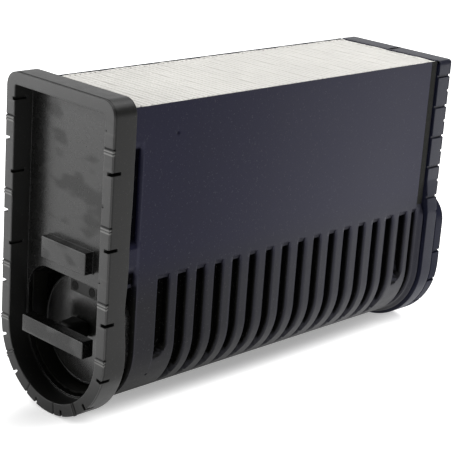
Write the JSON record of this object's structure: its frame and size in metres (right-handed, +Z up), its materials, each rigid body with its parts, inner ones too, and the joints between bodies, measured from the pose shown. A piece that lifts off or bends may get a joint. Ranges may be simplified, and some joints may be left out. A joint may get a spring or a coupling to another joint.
{
  "type": "engine air filter insert",
  "caption": "Trough-shaped engine air filter insert: pleated paper block in a ribbed housing, moulded front rim with grip bar, D-shaped sealed outlet at the rear.",
  "frame": {"origin": "middle of the bounding box in plan, at the lowest level of the round bottoms", "axes": "+X along the length towards the outlet, +Y across, +Z up, away from the round bottom towards the open top of the paper"},
  "size_m": [0.484, 0.148, 0.31],
  "materials": {
    "frame_polyurethane": "matt moulded dark grey polyurethane",
    "front_plastic": "satin dark grey moulded plastic",
    "housing_plastic": "satin black-blue moulded plastic",
    "seal_polyurethane": "matt dark grey moulded polyurethane",
    "filter_paper": "uncoated white pleated paper",
    "sealant": "cured pale sealant",
    "edge_sealant": "cured dark sealant"
  },
  "bodies": {
    "root": {"cross_bar_1": "housing_plastic", "cross_bar_2": "housing_plastic", "cross_bar_3": "housing_plastic", "cup_drum": "front_plastic", "front_plate": "front_plastic", "front_rim": "frame_polyurethane", "grip_bar": "front_plastic", "grip_pillar": "front_plastic", "housing": "housing_plastic", "locating_bar": "front_plastic", "outlet_collar": "seal_polyurethane", "pack_edge_far": "sealant", "pack_edge_near": "sealant", "pleat_pack": "filter_paper", "potting_front": "sealant", "potting_rear": "sealant", "rear_plate": "housing_plastic", "rear_seal": "seal_polyurethane", "sealant_strip_far": "edge_sealant", "sealant_strip_near": "edge_sealant", "spacer_thread_1": "sealant", "spacer_thread_2": "sealant", "spacer_thread_3": "sealant", "spacer_thread_4": "sealant", "spacer_thread_5": "sealant"}
  },
  "joints": []
}
